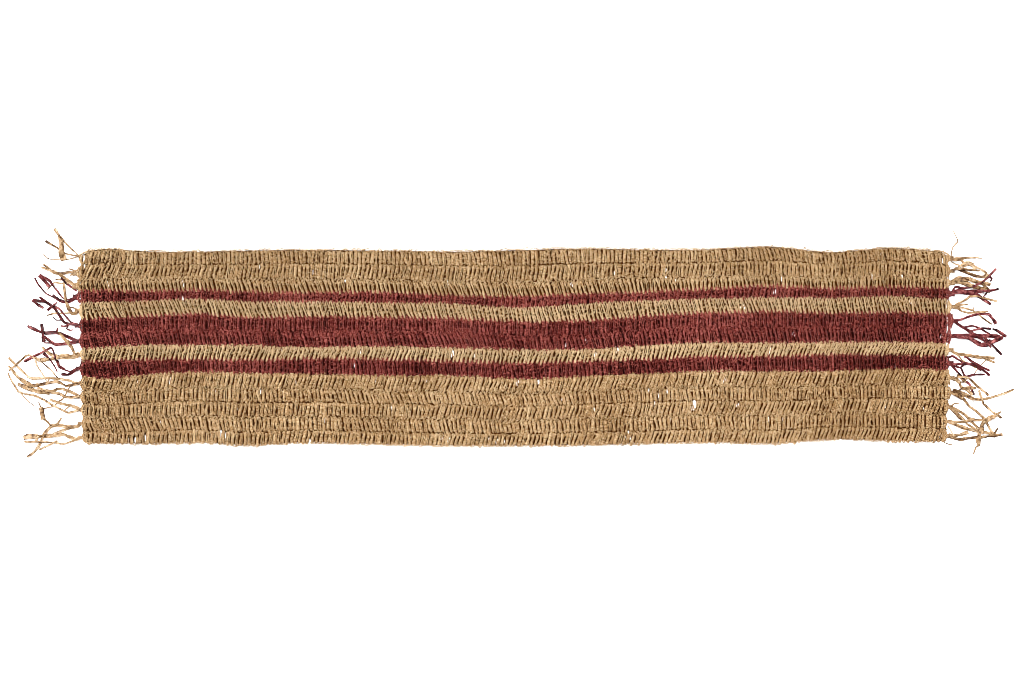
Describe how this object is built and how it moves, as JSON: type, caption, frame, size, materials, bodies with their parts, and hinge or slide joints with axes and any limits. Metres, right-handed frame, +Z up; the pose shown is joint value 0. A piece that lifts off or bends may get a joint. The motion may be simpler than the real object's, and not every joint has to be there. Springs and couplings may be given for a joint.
{
  "type": "runner rug",
  "caption": "Flat crocheted raffia runner rug with natural and red bands along its length, a slightly wavy outline and a loose knotted raffia fringe at both ends.",
  "frame": {"origin": "middle of the outer box of cloth and fringe, on the surface that the rug lies on", "axes": "+X along the rug's rows, +Y across them towards the first row, +Z up out of the upper face"},
  "size_m": [2.0262, 0.4534, 0.0085],
  "materials": {
    "natural_raffia": "dry raffia strands, matt with a faint sheen",
    "red_raffia": "raffia strands dyed dark red, matt with a faint sheen"
  },
  "bodies": {
    "root": {"cloth": "natural_raffia", "fringe_left_01": "natural_raffia", "fringe_left_02": "natural_raffia", "fringe_left_03": "natural_raffia", "fringe_left_04": "red_raffia", "fringe_left_05": "natural_raffia", "fringe_left_06": "red_raffia", "fringe_left_07": "red_raffia", "fringe_left_08": "natural_raffia", "fringe_left_09": "red_raffia", "fringe_left_10": "natural_raffia", "fringe_left_11": "natural_raffia", "fringe_left_12": "natural_raffia", "fringe_left_13": "natural_raffia", "fringe_left_14": "natural_raffia", "fringe_right_01": "natural_raffia", "fringe_right_02": "natural_raffia", "fringe_right_03": "natural_raffia", "fringe_right_04": "red_raffia", "fringe_right_05": "natural_raffia", "fringe_right_06": "red_raffia", "fringe_right_07": "red_raffia", "fringe_right_08": "natural_raffia", "fringe_right_09": "red_raffia", "fringe_right_10": "natural_raffia", "fringe_right_11": "natural_raffia", "fringe_right_12": "natural_raffia", "fringe_right_13": "natural_raffia", "fringe_right_14": "natural_raffia"}
  },
  "joints": []
}
